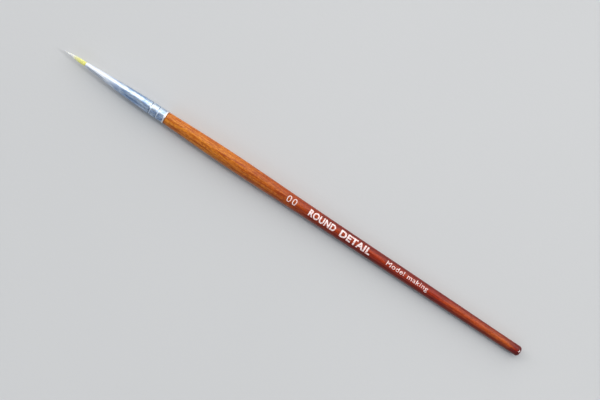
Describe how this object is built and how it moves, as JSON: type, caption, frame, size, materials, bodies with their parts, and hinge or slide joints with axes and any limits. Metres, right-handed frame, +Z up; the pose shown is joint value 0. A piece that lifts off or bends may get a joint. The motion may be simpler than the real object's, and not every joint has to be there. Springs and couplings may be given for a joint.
{
  "type": "fine detail brush",
  "caption": "Fine detail paint brush: a pointed round tuft in a conical metal ferrule, crimped to a lacquered wooden handle with a belly and a slim tail.",
  "frame": {"origin": "on the surface that the brush lies on, under the middle of its length and width", "axes": "+X runs from the tail to the point of the tuft, +Z is up, and +Y is to the left when looking along +X"},
  "size_m": [0.18, 0.0052, 0.0053],
  "materials": {
    "lacquered_wood": "gloss",
    "ferrule_metal": "satin",
    "white_glue": "satin",
    "filament": "satin",
    "thread": "matte",
    "epoxy": "gloss",
    "print_ink": "satin"
  },
  "bodies": {
    "brush_body": {"handle": "lacquered_wood", "ferrule": "ferrule_metal", "handle_glue": "white_glue", "tuft_root": "filament", "binding_thread": "thread", "root_epoxy": "epoxy"},
    "tuft_body": {"tuft": "filament"}
  },
  "joints": [
    {"name": "tuft_flex", "type": "hinge", "parent": "brush_body", "child": "tuft_body", "pos_m": [0.08236, 0, 0.00313], "axis": [-0.0081, 0, 1], "range_deg": [-60, 60], "stiffness_Nm_per_rad": 0.0004}
  ]
}
